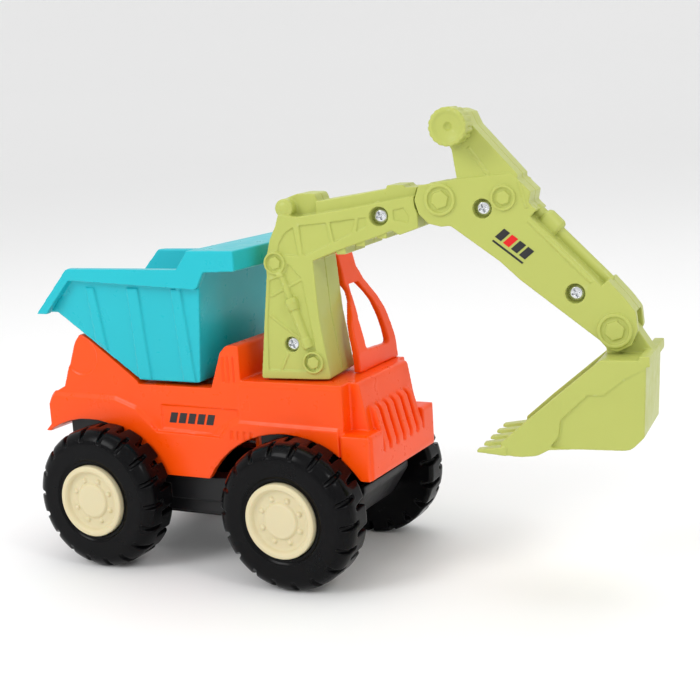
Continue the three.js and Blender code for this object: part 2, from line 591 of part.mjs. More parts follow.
// ---------------------------------------------------------------- bucket
function bucket() {
  const outline = [
    [117.6, 89.2, 0.8], [133.4, 89.2, 1.2], [132.4, 62], [127.6, 57, 2], [99.2, 56.6], [95, 54.4, 1], [88.7, 53.9, 1],
    [82, 54.4], [82, 58.9], [92.8, 68.4],
  ];
  const inside = [
    [110, 87.3], [131.3, 87.3], [130.4, 62.8], [126.8, 58.9], [98, 58.6], [88, 56.4], [78, 56.4], [78, 92], [110, 92],
  ];
  const spread = (offset) => prism('z', [
    [136, -BUCKET_HALF - offset], [136, BUCKET_HALF + offset], [104, BUCKET_HALF + 0.6 + offset],
    [92, 20.6 + offset], [70, 21 + offset], [70, -21 - offset], [92, -20.6 - offset],
    [104, -BUCKET_HALF - 0.6 - offset],
  ], 45, 110);
  let body = prism('y', outline, -24, 24).intersect(spread(0));
  body = body.subtract(prism('y', inside, -24, 24).intersect(spread(-1.9)));
  const pitch = 9.3;
  for (let i = -2; i <= 2; i += 1) {
    const tooth = prism('z', [
      [84, i * pitch - 2.8], [84, i * pitch + 2.8], [73, i * pitch + 1.9], [73, i * pitch - 1.9],
    ], 45, 70).intersect(prism('y', [[84, 54.2], [84, 57.6], [72.4, 55.9], [72.4, 55]], -24, 24));
    body = body.add(tooth);
  }
  const lip = box(131, 134.6, -BUCKET_HALF, BUCKET_HALF, 87, 90.6);
  const lug = rod('y', WRIST[0], WRIST[1], 5.9, -4.4, 4.4, 16).add(prism('y', [
    [WRIST[0] - 3.4, 88], [WRIST[0] - 5, 96], [WRIST[0] + 3, 103.4], [WRIST[0] + 6.4, 99], [134, 89.6], [134, 88],
  ], -4.4, 4.4));
  return body.add(lip).add(lug).subtract(rod('y', WRIST[0], WRIST[1], 2.9, -10, 10, 12));
}

// ---------------------------------------------------------------- assembly
const toy = new THREE.Group();

piece(toy, 'body_shell', bodyShell(), orange);
piece(toy, 'windscreen_frame', windscreenFrame(), orange);
piece(toy, 'chassis_base', chassisBase(), black);
SCREW_PLACES.forEach(([x, y], i) => {
  piece(toy, `chassis_screw_${i + 1}`, chassisScrew(x, y), steel);
});
piece(toy, 'hopper', hopper(), cyan);
piece(toy, 'hopper_hinge_pin', rod('y', HINGE_X, HINGE_Z, HINGE_PIN_RADIUS, -26, 26, 12), steel);

['front', 'rear'].forEach((end, i) => {
  const x = WHEEL_PLACES[i];
  piece(toy, `${end}_axle`, rod('y', x, WHEEL_RADIUS, AXLE_RADIUS, -TYRE_OUTER + 3.4, TYRE_OUTER - 3.4, 16), steel);
  piece(toy, `${end}_left_tyre`, tyre(x), black);
  piece(toy, `${end}_right_tyre`, mirrored(tyre(x)), black);
  piece(toy, `${end}_left_hub`, hub(x), cream);
  piece(toy, `${end}_right_hub`, mirrored(hub(x)), cream);
});

const arm = new THREE.Group();
arm.position.set(POST_X, POST_Y, 0);
arm.rotation.z = THREE.MathUtils.degToRad(REST_SWING);
toy.add(arm);

const [boomRight, boomLeft] = boomHalves();
piece(arm, 'boom_right_half', boomRight, olive);
piece(arm, 'boom_left_half', boomLeft, olive);
piece(arm, 'swivel_hub', swivelHub(), olive);
piece(arm, 'swivel_washer', swivelWasher(), steel);
piece(arm, 'swivel_screw', swivelScrew(), steel);
BOOM_SCREWS.forEach(([x, z], i) => {
  piece(arm, `boom_screw_${i + 1}`, armScrew(x, z, boomFace), steel);
});
const [stickRight, stickLeft] = stickHalves();
piece(arm, 'stick_right_half', stickRight, olive);
piece(arm, 'stick_left_half', stickLeft, olive);
STICK_SCREWS.forEach(([x, z], i) => {
  piece(arm, `stick_screw_${i + 1}`, armScrew(x, z, stickFace), steel);
});
piece(arm, 'lever_knob', leverKnob(), olive);
piece(arm, 'bucket', bucket(), olive);

// The origin is the middle of the footprint, on the floor.
const bounds = new THREE.Box3().setFromObject(toy, true);
const middle = bounds.getCenter(new THREE.Vector3());
toy.position.set(-middle.x, -middle.y, -bounds.min.z);
toy.updateMatrixWorld(true);

export default toy;
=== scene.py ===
import json
import math

import bmesh
import bpy
from mathutils import Matrix, Vector

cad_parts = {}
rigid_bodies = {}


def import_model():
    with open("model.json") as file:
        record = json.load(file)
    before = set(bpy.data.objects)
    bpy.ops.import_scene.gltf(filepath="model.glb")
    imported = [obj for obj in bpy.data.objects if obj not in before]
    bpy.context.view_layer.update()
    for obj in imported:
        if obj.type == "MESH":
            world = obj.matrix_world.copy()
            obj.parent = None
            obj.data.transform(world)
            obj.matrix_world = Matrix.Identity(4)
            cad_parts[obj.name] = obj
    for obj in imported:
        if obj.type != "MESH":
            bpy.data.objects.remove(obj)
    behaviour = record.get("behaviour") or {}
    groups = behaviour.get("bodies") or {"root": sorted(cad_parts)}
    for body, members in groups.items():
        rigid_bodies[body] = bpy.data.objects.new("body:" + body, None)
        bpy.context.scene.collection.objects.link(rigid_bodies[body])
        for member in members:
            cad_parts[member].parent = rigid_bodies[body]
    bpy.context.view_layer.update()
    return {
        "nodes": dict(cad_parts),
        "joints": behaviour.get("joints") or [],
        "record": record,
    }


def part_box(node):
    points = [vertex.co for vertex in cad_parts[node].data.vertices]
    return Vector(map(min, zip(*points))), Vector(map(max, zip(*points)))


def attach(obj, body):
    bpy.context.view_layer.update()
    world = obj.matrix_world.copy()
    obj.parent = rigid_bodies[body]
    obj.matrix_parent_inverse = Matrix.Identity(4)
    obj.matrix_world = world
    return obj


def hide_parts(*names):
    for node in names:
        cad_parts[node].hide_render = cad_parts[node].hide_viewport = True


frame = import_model()

MM = 0.001
NODES = frame["nodes"]
JOINTS = {joint["name"]: joint for joint in frame["joints"]}
BODIES = frame["record"]["behaviour"]["bodies"]
SLOTS = {part["node"]: part["material_slot"] for part in frame["record"]["subparts"]}
BODY_OF = {node: body for body, members in BODIES.items() for node in members}


# ------------------------------------------------------------------ places
def place(joint):
    return Vector(JOINTS[joint]["pos_m"])


def arm_matrix():
    """From the arm's own axes (along, across, up), with their origin on the swivel axis at the floor."""
    swivel = place("arm_swivel")
    across = Vector(JOINTS["elbow"]["axis"]).normalized()
    along = across.cross(Vector((0, 0, 1)))
    return Matrix((
        (along.x, across.x, 0, swivel.x),
        (along.y, across.y, 0, swivel.y),
        (0, 0, 1, 0),
        (0, 0, 0, 1),
    ))


ARM = arm_matrix()
TRUCK = Matrix.Translation((place("rear_axle_spin").x / 2 + place("front_axle_spin").x / 2, 0, 0))


# ------------------------------------------------------------------ mesh building
def link(name, mesh):
    obj = bpy.data.objects.new(name, mesh)
    bpy.context.scene.collection.objects.link(obj)
    return obj


def applied(obj):
    """Replaces obj's mesh by what its modifiers make of it."""
    graph = bpy.context.evaluated_depsgraph_get()
    mesh = bpy.data.meshes.new_from_object(obj.evaluated_get(graph))
    obj.modifiers.clear()
    obj.data = mesh
    return obj


class Solids:
    """A set of closed shapes in one mesh, in millimetres of the frame given by `matrix`."""

    def __init__(self, matrix):
        self.bm = bmesh.new()
        self.matrix = matrix

    def row(self, points):
        return [self.bm.verts.new(self.matrix @ (Vector(point) * MM)) for point in points]

    def skin(self, rows, following, faces):
        for low, high in zip(rows, following):
            for i in range(len(low)):
                j = (i + 1) % len(low)
                faces.append(self.bm.faces.new((low[i], low[j], high[j], high[i])))
        bmesh.ops.recalc_face_normals(self.bm, faces=faces)

    def loft(self, rings):
        """Closed rings of points, joined side by side and capped at both ends."""
        rows = [self.row(ring) for ring in rings]
        self.skin(rows, rows[1:], [self.bm.faces.new(rows[0]), self.bm.faces.new(rows[-1])])

    def hoop(self, rings):
        """Closed rings of points, joined side by side and the last to the first."""
        rows = [self.row(ring) for ring in rings]
        self.skin(rows, rows[1:] + rows[:1], [])

    def plate(self, outline, near, far):
        """A prism across y: `near` and `far` are depths, or functions of (x, z)."""
        def depth(value, x, z):
            return value(x, z) if callable(value) else value

        self.loft([[(x, depth(value, x, z), z) for x, z in outline] for value in (near, far)])

    def rod(self, start, end, radii, sides=32):
        """A round bar from start to end; radii lists (fraction of the way, radius)."""
        start, end = Vector(start), Vector(end)
        axis = (end - start).normalized()
        side = axis.orthogonal().normalized()
        other = axis.cross(side)
        rings = []
        for fraction, radius in radii:
            middle = start.lerp(end, fraction)
            angles = [2 * math.pi * i / sides for i in range(sides)]
            rings.append([middle + radius * (side * math.cos(a) + other * math.sin(a)) for a in angles])
        self.loft(rings)

    def mesh(self, name):
        mesh = bpy.data.meshes.new(name)
        self.bm.to_mesh(mesh)
        self.bm.free()
        return mesh


def copy_of(name, node):
    return link(name, NODES[node].data.copy())


def join(obj, mesh):
    bm = bmesh.new()
    bm.from_mesh(obj.data)
    bm.from_mesh(mesh)
    bm.to_mesh(obj.data)
    bm.free()


def cut(obj, mesh):
    tool = link("tool", mesh)
    modifier = obj.modifiers.new("cut", "BOOLEAN")
    modifier.operation = "DIFFERENCE"
    modifier.solver = "EXACT"
    modifier.use_self = True
    modifier.object = tool
    applied(obj)
    bpy.data.objects.remove(tool)


def moulded(obj, voxel, rounds, keep):
    """Merges the shapes in obj into one skin and softens every edge, as in an injection moulding."""
    remesh = obj.modifiers.new("skin", "REMESH")
    remesh.mode = "VOXEL"
    remesh.voxel_size = voxel * MM * 1
    remesh.adaptivity = 0
    remesh.use_smooth_shade = True
    smooth = obj.modifiers.new("soften", "SMOOTH")
    smooth.factor = 0.5
    smooth.iterations = rounds
    if keep < 1:
        reduce = obj.modifiers.new("reduce", "DECIMATE")
        reduce.ratio = keep
    even = obj.modifiers.new("even", "WEIGHTED_NORMAL")
    even.weight = 80
    for face in obj.data.polygons:
        face.use_smooth = True
    applied(obj)
    return obj


def finish_piece(obj, node, material):
    obj.data.materials.clear()
    obj.data.materials.append(material)
    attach(obj, BODY_OF[node])
    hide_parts(node)
    return obj


# ------------------------------------------------------------------ materials
def plastic(name, colour, roughness, grain, edge=0.12, translucent=0.0, specular=0.3):
    """Injection-moulded plastic: faint colour drift, uneven gloss, fine grain and rubbed edges."""
    material = bpy.data.materials.new(name)
    material.use_nodes = True
    nodes, links = material.node_tree.nodes, material.node_tree.links
    shader = nodes["Principled BSDF"]
    shader.inputs["IOR"].default_value = 1.5
    shader.inputs["Subsurface Weight"].default_value = translucent
    shader.inputs["Subsurface Radius"].default_value = (0.004, 0.002, 0.001)
    shader.inputs["Subsurface Scale"].default_value = 0.5
    shader.inputs["Specular IOR Level"].default_value = specular

    place_node = nodes.new("ShaderNodeTexCoord")
    drift = nodes.new("ShaderNodeTexNoise")
    drift.inputs["Scale"].default_value = 18
    drift.inputs["Detail"].default_value = 3
    links.new(place_node.outputs["Object"], drift.inputs["Vector"])

    tint = nodes.new("ShaderNodeMix")
    tint.data_type = "RGBA"
    tint.inputs["A"].default_value = (*[c * 0.93 for c in colour], 1)
    tint.inputs["B"].default_value = (*[min(c * 1.05, 1) for c in colour], 1)
    links.new(drift.outputs["Fac"], tint.inputs["Factor"])

    geometry = nodes.new("ShaderNodeNewGeometry")
    rub = nodes.new("ShaderNodeMapRange")
    rub.inputs["From Min"].default_value = 0.53
    rub.inputs["From Max"].default_value = 0.62
    rub.inputs["To Max"].default_value = edge
    links.new(geometry.outputs["Pointiness"], rub.inputs["Value"])
    worn = nodes.new("ShaderNodeMix")
    worn.data_type = "RGBA"
    worn.inputs["B"].default_value = (*[c + (1 - c) * 0.45 for c in colour], 1)
    links.new(rub.outputs["Result"], worn.inputs["Factor"])
    links.new(tint.outputs["Result"], worn.inputs["A"])
    links.new(worn.outputs["Result"], shader.inputs["Base Color"])

    scuff = nodes.new("ShaderNodeTexNoise")
    scuff.inputs["Scale"].default_value = 130
    scuff.inputs["Detail"].default_value = 6
    scuff.inputs["Roughness"].default_value = 0.65
    links.new(place_node.outputs["Object"], scuff.inputs["Vector"])
    gloss = nodes.new("ShaderNodeMapRange")
    gloss.inputs["From Min"].default_value = 0.3
    gloss.inputs["From Max"].default_value = 0.7
    gloss.inputs["To Min"].default_value = roughness - 0.06
    gloss.inputs["To Max"].default_value = roughness + 0.1
    links.new(scuff.outputs["Fac"], gloss.inputs["Value"])
    links.new(gloss.outputs["Result"], shader.inputs["Roughness"])

    skin = nodes.new("ShaderNodeTexNoise")
    skin.inputs["Scale"].default_value = 700
    skin.inputs["Detail"].default_value = 2
    links.new(place_node.outputs["Object"], skin.inputs["Vector"])
    sink = nodes.new("ShaderNodeTexNoise")
    sink.inputs["Scale"].default_value = 45
    links.new(place_node.outputs["Object"], sink.inputs["Vector"])
    waves = nodes.new("ShaderNodeBump")
    waves.inputs["Strength"].default_value = 0.12
    waves.inputs["Distance"].default_value = 0.0006
    links.new(sink.outputs["Fac"], waves.inputs["Height"])
    bump = nodes.new("ShaderNodeBump")
    bump.inputs["Strength"].default_value = grain
    bump.inputs["Distance"].default_value = 0.0001
    links.new(skin.outputs["Fac"], bump.inputs["Height"])
    links.new(waves.outputs["Normal"], bump.inputs["Normal"])
    links.new(bump.outputs["Normal"], shader.inputs["Normal"])
    return material


def metal(name, colour, roughness):
    """Plated steel with fine turning marks and a little tarnish."""
    material = bpy.data.materials.new(name)
    material.use_nodes = True
    nodes, links = material.node_tree.nodes, material.node_tree.links
    shader = nodes["Principled BSDF"]
    shader.inputs["Metallic"].default_value = 1
    place_node = nodes.new("ShaderNodeTexCoord")
    cloud = nodes.new("ShaderNodeTexNoise")
    cloud.inputs["Scale"].default_value = 400
    cloud.inputs["Detail"].default_value = 4
    links.new(place_node.outputs["Object"], cloud.inputs["Vector"])
    tint = nodes.new("ShaderNodeMix")
    tint.data_type = "RGBA"
    tint.inputs["A"].default_value = (*[c * 0.75 for c in colour], 1)
    tint.inputs["B"].default_value = (*colour, 1)
    links.new(cloud.outputs["Fac"], tint.inputs["Factor"])
    links.new(tint.outputs["Result"], shader.inputs["Base Color"])
    gloss = nodes.new("ShaderNodeMapRange")
    gloss.inputs["To Min"].default_value = roughness - 0.05
    gloss.inputs["To Max"].default_value = roughness + 0.12
    links.new(cloud.outputs["Fac"], gloss.inputs["Value"])
    links.new(gloss.outputs["Result"], shader.inputs["Roughness"])
    bump = nodes.new("ShaderNodeBump")
    bump.inputs["Strength"].default_value = 0.15
    bump.inputs["Distance"].default_value = 0.00008
    links.new(cloud.outputs["Fac"], bump.inputs["Height"])
    links.new(bump.outputs["Normal"], shader.inputs["Normal"])
    return material


ORANGE = plastic("orange_plastic", (1.0, 0.078, 0.0), 0.3, 0.12, translucent=0.1)
CYAN = plastic("cyan_plastic", (0.01, 0.48, 0.56), 0.3, 0.12, translucent=0.05)
OLIVE = plastic("olive_plastic", (0.46, 0.5, 0.12), 0.33, 0.12, translucent=0.05)
CREAM = plastic("cream_plastic", (0.68, 0.6, 0.38), 0.38, 0.12, translucent=0.15)
BLACK = plastic("black_plastic", (0.006, 0.006, 0.007), 0.35, 0.2, edge=0.04)
TYRE = plastic("tyre_plastic", (0.003, 0.003, 0.0035), 0.2, 0.15, edge=0.02, specular=0.1)
RED = plastic("red_print", (0.7, 0.01, 0.01), 0.4, 0.1, edge=0.0)
SCREW = metal("screw_steel", (0.78, 0.8, 0.83), 0.22)
AXLE = metal("axle_steel", (0.6, 0.6, 0.62), 0.3)


# ------------------------------------------------------------------ truck
BODY_HALF = 28.5
FLARE_HALF = 29.7
REAR_LEDGE = [(-75, 65), (-72.6, 67.6), (-41, 67.4), (-31, 64), (-24, 58)]
FRONT_LEDGE = [(9.5, 55.2), (14, 59.5), (18, 61.2), (62, 60.6)]


def ledge(shapes, path):
    """The sloped top of a fender, from its outer edge in to the body's side."""
    for side in (-1, 1):
        shapes.loft([
            [(x, side * (BODY_HALF - 0.4), z + 2.2), (x, side * (FLARE_HALF - 0.05), z - 0.05),
             (x, side * (BODY_HALF - 0.4), z - 1)]
            for x, z in path
        ])


def body_shell():
    body = copy_of("body", "body_shell")
    ledges = Solids(TRUCK)
    ledge(ledges, REAR_LEDGE)
    ledge(ledges, FRONT_LEDGE)
    join(body, ledges.mesh("ledges"))
    hinge = TRUCK.inverted() @ place("hopper_tip") / MM
    discs = Solids(TRUCK)
    for side in (-1, 1):
        outline = polygon(hinge.x - 1.2, hinge.z - 0.4, 8.3, 48)
        discs.plate(outline, side * (BODY_HALF - 0.55), side * (BODY_HALF + 3))
    cut(body, discs.mesh("discs"))
    finish_piece(moulded(body, 0.38, 4, 0.6), "body_shell", ORANGE)


def decal(name, blocks, matrix, depth, body, material):
    """A generic printed mark: slanted blocks a hair proud of the plastic."""
    shapes = Solids(matrix)
    for x, z, width, height, slant in blocks:
        outline = [(x, z), (x + width, z), (x + width + slant, z + height), (x + slant, z + height)]
        shapes.plate(outline, depth - 0.1, depth + 0.15)
    mark = link(name, shapes.mesh(name))
    mark.data.materials.append(material)
    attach(mark, body)


def side_marks():
    blocks = [(-15.6 + i * 4.4, 59.2, 3.2, 4.2, 1.3) for i in range(5)]
    decal("side_mark", blocks, TRUCK, -27.98, "truck", BLACK)


def windscreen():
    post = copy_of("windscreen", "windscreen_frame")
    finish_piece(moulded(post, 0.35, 6, 0.4), "windscreen_frame", ORANGE)


def chassis():
    base = copy_of("chassis", "chassis_base")
    finish_piece(moulded(base, 0.5, 4, 0.3), "chassis_base", BLACK)


def hopper():
    tub = copy_of("tub", "hopper")
    finish_piece(moulded(tub, 0.4, 5, 0.3), "hopper", CYAN)


# ------------------------------------------------------------------ wheels
LUGS = 18


def ring_profile(shapes, profile, sides=144):
    """A ring turned about the y axis through the wheel's centre, from a closed list of (radius, y)."""
    angles = [2 * math.pi * i / sides for i in range(sides)]
    shapes.hoop([[(r * math.cos(angle), y, r * math.sin(angle)) for r, y in profile] for angle in angles])


def arc(centre, radius, start, end, steps):
    points = []
    for i in range(steps + 1):
        angle = math.radians(start + (end - start) * i / steps)
        points.append((centre[0] + radius * math.cos(angle), centre[1] + radius * math.sin(angle)))
    return points


def tyre_mesh(node, hub_node):
    """One tyre in its wheel's own axes, y outwards, centred on the axle at the truck's centre plane."""
    low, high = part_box(node)
    inner, outer = abs(low.y) / MM, abs(high.y) / MM
    inner, outer = min(inner, outer), max(inner, outer)
    radius = (high.z - low.z) / 2 / MM
    hub = (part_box(hub_node)[1].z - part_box(hub_node)[0].z) / 2 / MM
    shapes = Solids(Matrix.Identity(4))
    shoulder = 6.4
    profile = (
        [(hub - 1.4, inner), (radius - 1.7, inner)]
        + arc((radius - 1.7, inner + 1.7), 1.7, -90, 0, 4)
        + arc((radius - shoulder, outer - shoulder), shoulder, 0, 90, 8)
        + [(hub + 2.6, outer), (hub + 1.8, outer - 0.7), (hub + 0.3, outer - 0.7), (hub + 0.3, outer - 3),
           (hub - 1.4, outer - 3)]
    )
    ring_profile(shapes, profile)
    ring = link("tyre", shapes.mesh("tyre"))

    grooves = Solids(Matrix.Identity(4))
    middle = (inner + outer) / 2
    for side, start in ((1, 0.5), (-1, 0)):
        for i in range(LUGS):
            angle = -math.pi / 2 + (i + start) * 2 * math.pi / LUGS
            groove(grooves, angle, radius, middle, outer if side > 0 else inner, side)
    cut(ring, grooves.mesh("grooves"))
    return moulded(ring, 0.32, 4, 0.3).data


def groove(grooves, angle, radius, middle, edge, side):
    """A slot across half the tread that widens and bends over the shoulder."""
    def point(turn, r, y):
        return (r * math.cos(angle + turn), y, r * math.sin(angle + turn))

    depth, half = 1.6, 1.05 / radius
    rings = []
    for y, bottom, width, skew in (
        (middle - side * 0.4, radius - depth, 0.8, 0.0),
        (edge - side * 5.4, radius - depth, 1.0, 0.02),
        (edge - side * 2.4, radius - depth - 1.6, 1.15, 0.035),
        (edge + side * 0.2, radius - depth - 3.6, 1.2, 0.04),
    ):
        turn = skew * side
        floor_half, mouth_half = half * width * 0.7, half * width * 1.3
        rings.append([
            point(turn - floor_half, bottom, y), point(turn + floor_half, bottom, y),
            point(turn + mouth_half, radius + 1.5, y), point(turn - mouth_half, radius + 1.5, y),
        ])
    grooves.loft(rings)


def hub_mesh(node):
    low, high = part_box(node)
    face = max(abs(low.y), abs(high.y)) / MM - 0.03
    back = min(abs(low.y), abs(high.y)) / MM
    radius = (high.z - low.z) / 2 / MM
    shapes = Solids(Matrix.Identity(4))
    lip = face - 0.55
    profile = (
        [(0.02, back + 12), (radius - 1.6, back + 12), (radius - 1.6, face - 4)]
        + [(radius, face - 4), (radius, lip)]
        + arc((radius - 0.8, face - 0.8), 0.8, 0, 90, 5)
        + [(radius - 1.9, face), (radius - 2.6, face - 0.7), (radius - 3.1, face - 1.9)]
        + [(radius - 4.2, face - 2.2), (7.4, face - 2.0), (6.8, face - 1.2), (6.2, face - 0.95)]
        + [(0.02, face - 0.9)]
    )
    ring_profile(shapes, profile, 128)
    for i in range(8):
        angle = (i + 0.5) * math.pi / 4
        x, z = 8.7 * math.cos(angle), 8.7 * math.sin(angle)
        shapes.rod((x, face - 4, z), (x, face - 1.2, z), ((0, 1.15), (0.7, 1.15), (0.9, 0.9), (1, 0.4)), 20)
    disc = link("hub", shapes.mesh("hub"))
    return moulded(disc, 0.2, 3, 0.4).data


def wheels():
    shared_tyre = tyre_mesh("front_left_tyre", "front_left_hub")
    shared_hub = hub_mesh("front_left_hub")
    for leftover in [o for o in bpy.context.scene.objects if o.name in ("tyre", "hub")]:
        bpy.data.objects.remove(leftover)
    for end in ("front", "rear"):
        centre = place(f"{end}_axle_spin")
        for side, flip in (("left", 1), ("right", -1)):
            turn = Matrix.Translation(centre) @ Matrix.Diagonal((flip, flip, 1, 1))
            for part, mesh, material in (("tyre", shared_tyre, TYRE), ("hub", shared_hub, CREAM)):
                node = f"{end}_{side}_{part}"
                own = mesh.copy()
                own.transform(turn)
                finish_piece(link(f"{end}_{side}_{part}_skin", own), node, material)


# ------------------------------------------------------------------ arm
POST_HALF = 13.6                # half thickness of the arm at its foot
PANEL_DEPTH = 0.55


def boom_face(x, z):
    """Half thickness of the inner arm at a place on its side: it narrows upwards and towards the elbow."""
    front = POST_HALF - (z - 70) / 30
    plan = POST_HALF if x < 6 else POST_HALF - (x - 6) * 6 / 45
    return min(front, plan)


def relief(shapes, outline, face, low, high):
    """The same raised or cut shape on both sides, from `low` to `high` outside the face."""
    for side in (-1, 1):
        shapes.plate(
            outline,
            lambda x, z: side * (face(x, z) + low),
            lambda x, z: side * (face(x, z) + high),
        )


def polygon(x, z, radius, corners, turn=0.0):
    angles = [turn + 2 * math.pi * i / corners for i in range(corners)]
    return [(x + radius * math.cos(angle), z + radius * math.sin(angle)) for angle in angles]


POST_PANEL = [
    (-8.6, 116.8), (-10.4, 100), (-10.9, 82), (8.6, 82),
    (9.2, 90), (4.8, 117.2), (-0.6, 123.2), (-2.4, 118.6),
]
ARM_PANELS = [
    [(-4.9, 126.6), (-3.9, 130.8), (-1.4, 134.6), (2.2, 136.8), (4.0, 125.8)],
    [(4.6, 137.3), (15.8, 138.2), (17.2, 130.4), (6.8, 126), (5.6, 126.6)],
    [(17.2, 138.4), (27.2, 139.4), (25.6, 134), (18.6, 130.8)],
    [(28.4, 139.5), (31.4, 139.7), (31.2, 136.4), (27.2, 134.4)],
]
SMALL_PANEL = [(41.4, 142), (45.4, 142.8), (47.2, 139.8), (47.1, 137), (44, 138), (41.5, 138.1)]
POST_RIBS = [[(-9.3, 103.5), (2.6, 94.6)], [(-8.6, 110.6), (4.6, 117)], [(-2.4, 88.8), (-5.6, 82)]]


def rib_outline(start, end, width):
    start, end = Vector(start), Vector(end)
    side = (end - start).normalized().orthogonal() * width / 2
    return [tuple(start - side), tuple(end - side), tuple(end + side), tuple(start + side)]


def boom():
    for node in ("boom_right_half", "boom_left_half"):
        half = copy_of(f"{node}_skin", node)
        panels = Solids(ARM)
        for outline in [POST_PANEL, *ARM_PANELS, SMALL_PANEL]:
            relief(panels, outline, boom_face, -PANEL_DEPTH, 3)
        wells(panels, BOOM_PIVOTS, boom_face)
        cut(half, panels.mesh("panels"))
        raised = Solids(ARM)
        for start, end in POST_RIBS:
            relief(raised, rib_outline(start, end, 0.9), boom_face, -1.2, -0.1)
        ram(raised)
        pivots(raised)
        keep_half(raised, node)
        join(half, raised.mesh("raised"))
        finish_piece(moulded(half, 0.24, 3, 0.25), node, OLIVE)


def keep_half(shapes, node):
    """Drops the detail that belongs to the other half of the arm."""
    side = -1 if "right" in node else 1
    inverse = ARM.inverted()
    gone = [v for v in shapes.bm.verts if (inverse @ v.co).y * side < 0]
    bmesh.ops.delete(shapes.bm, geom=gone, context="VERTS")


def ram(shapes):
    """A moulded cylinder in low relief, with a collar half way and a clevis at the foot."""
    top, foot = Vector((-4.3, 121)), Vector((6.6, 90))
    for side in (-1, 1):
        def at(fraction):
            x, z = top.lerp(foot, fraction)
            return (x, side * (boom_face(x, z) - 0.5), z)

        shapes.rod(at(0), at(0.4), ((0, 1.35), (1, 1.35)), 24)
        shapes.rod(at(0.36), at(0.5), ((0, 2.6), (0.4, 2.9), (1, 2.4)), 24)
        shapes.rod(at(0.48), at(0.9), ((0, 1.9), (1, 1.9)), 24)
        shapes.rod(at(0.86), at(0.97), ((0, 2.2), (1, 2.2)), 24)


BOOM_PIVOTS = [(-5.9, 123.4, 4.4), (8.0, 85.4, 4.3)]
RIM_INSIDE = 0.8                # a boss rim's inner radius, as a part of its outer radius
STICK_PIVOTS = [(59.4, 145.3, 5.8), (82.8, 145.4, 4.6), (121.3, 97.9, 6.2)]


def wells(shapes, places, face):
    """Room inside each boss, so that only its rim and hexagon stand proud."""
    for x, z, radius in places:
        relief(shapes, polygon(x, z, radius * RIM_INSIDE, 40), face, 0.1, 3)


def pivots(shapes):
    """A boss at each end of the ram, and the stepped round cap at the arm's shoulder."""
    def cap(start, end, radii, sides):
        shapes.rod((-1.4, start, 143.8), (-1.4, end, 143.8), radii, sides)

    for side in (-1, 1):
        for x, z, radius in BOOM_PIVOTS:
            face = boom_face(x, z)
            boss(shapes, x, z, radius, side, face - 0.6, face + 0.9)
        cap(side * 4, side * 10.9, ((0, 3.6), (0.93, 3.6), (1, 3.1)), 32)
        cap(side * 10.6, side * 11.4, ((0, 2.2), (0.6, 2.1), (1, 1.2)), 24)


def boss(shapes, x, z, radius, side, low, high):
    """A raised rim, and a hexagon standing inside it."""
    shapes.plate(polygon(x, z, radius * 0.58, 6, 0.3), side * low, side * (high - 0.05))
    rim, mouth = polygon(x, z, radius, 40), polygon(x, z, radius * RIM_INSIDE, 40)
    shapes.hoop([
        [(u, side * depth, v) for u, v in outline]
        for outline, depth in ((rim, low), (rim, high), (mouth, high), (mouth, low))
    ])


STICK_FACE = 8.25
TROUGH_START = -32.5            # along the outer arm's upper edge
TROUGH_END = 2.5


def stick():
    for node in ("stick_right_half", "stick_left_half"):
        half = copy_of(f"{node}_skin", node)
        rooms = Solids(ARM)
        wells(rooms, STICK_PIVOTS, lambda x, z: STICK_FACE)
        for side in (-1, 1):
            rooms.plate(edge_strip(TROUGH_START, TROUGH_END, -3.6, 8), 0, side * 12)
        cut(half, rooms.mesh("rooms"))
        raised = Solids(ARM)
        for side in (-1, 1):
            for x, z, radius in STICK_PIVOTS:
                boss(raised, x, z, radius, side, STICK_FACE - 0.6, STICK_FACE + 0.95)
            raised.plate(rib_outline((70.6, 163.4), (77.6, 153.6), 0.9), side * 7, side * 8.1)
            raised.plate(rib_outline((88.6, 151.2), (91.2, 141.6), 0.8), side * 8, side * 8.7)
            raised.plate(edge_strip(TROUGH_START + 0.5, -1, -5.4, -4.6), side * 8, side * 8.7)
        stick_ram(raised, -1 if "right" in node else 1)
        keep_half(raised, node)
        join(half, raised.mesh("raised"))
        finish_piece(moulded(half, 0.24, 3, 0.25), node, OLIVE)


def edge_point(along, height):
    """A place beside the outer arm's straight upper edge: distance along it, and height above it."""
    return (117.6 + 0.703 * along + 0.711 * height, 117.8 - 0.711 * along + 0.703 * height)


def edge_strip(start, end, low, high):
    return [edge_point(start, low), edge_point(end, low), edge_point(end, high), edge_point(start, high)]


def stick_ram(shapes, side):
    """Half of the cylinder that lies in the trough, so that the two moulded halves share it."""
    def bar(start, end, radii):
        shapes.loft([
            [half_round(start + (end - start) * fraction, radius, side, math.radians(angle))
             for angle in range(-90, 91, 10)]
            for fraction, radius in radii
        ])

    shapes.plate(edge_strip(-36, 3, -6, -3.4), side * 0.2, side * 6.9)
    bar(-34, -25, ((0, 2.5), (1, 2.5)))
    bar(-30, -22, ((0, 3.2), (0.15, 4), (0.85, 4), (1, 3.2)))
    bar(-24, 3.5, ((0, 2.2), (1, 2.2)))


def half_round(along, radius, side, angle):
    x, z = edge_point(along, radius * math.sin(angle) - 1.9)
    return (x, side * (0.2 + radius * math.cos(angle)), z)


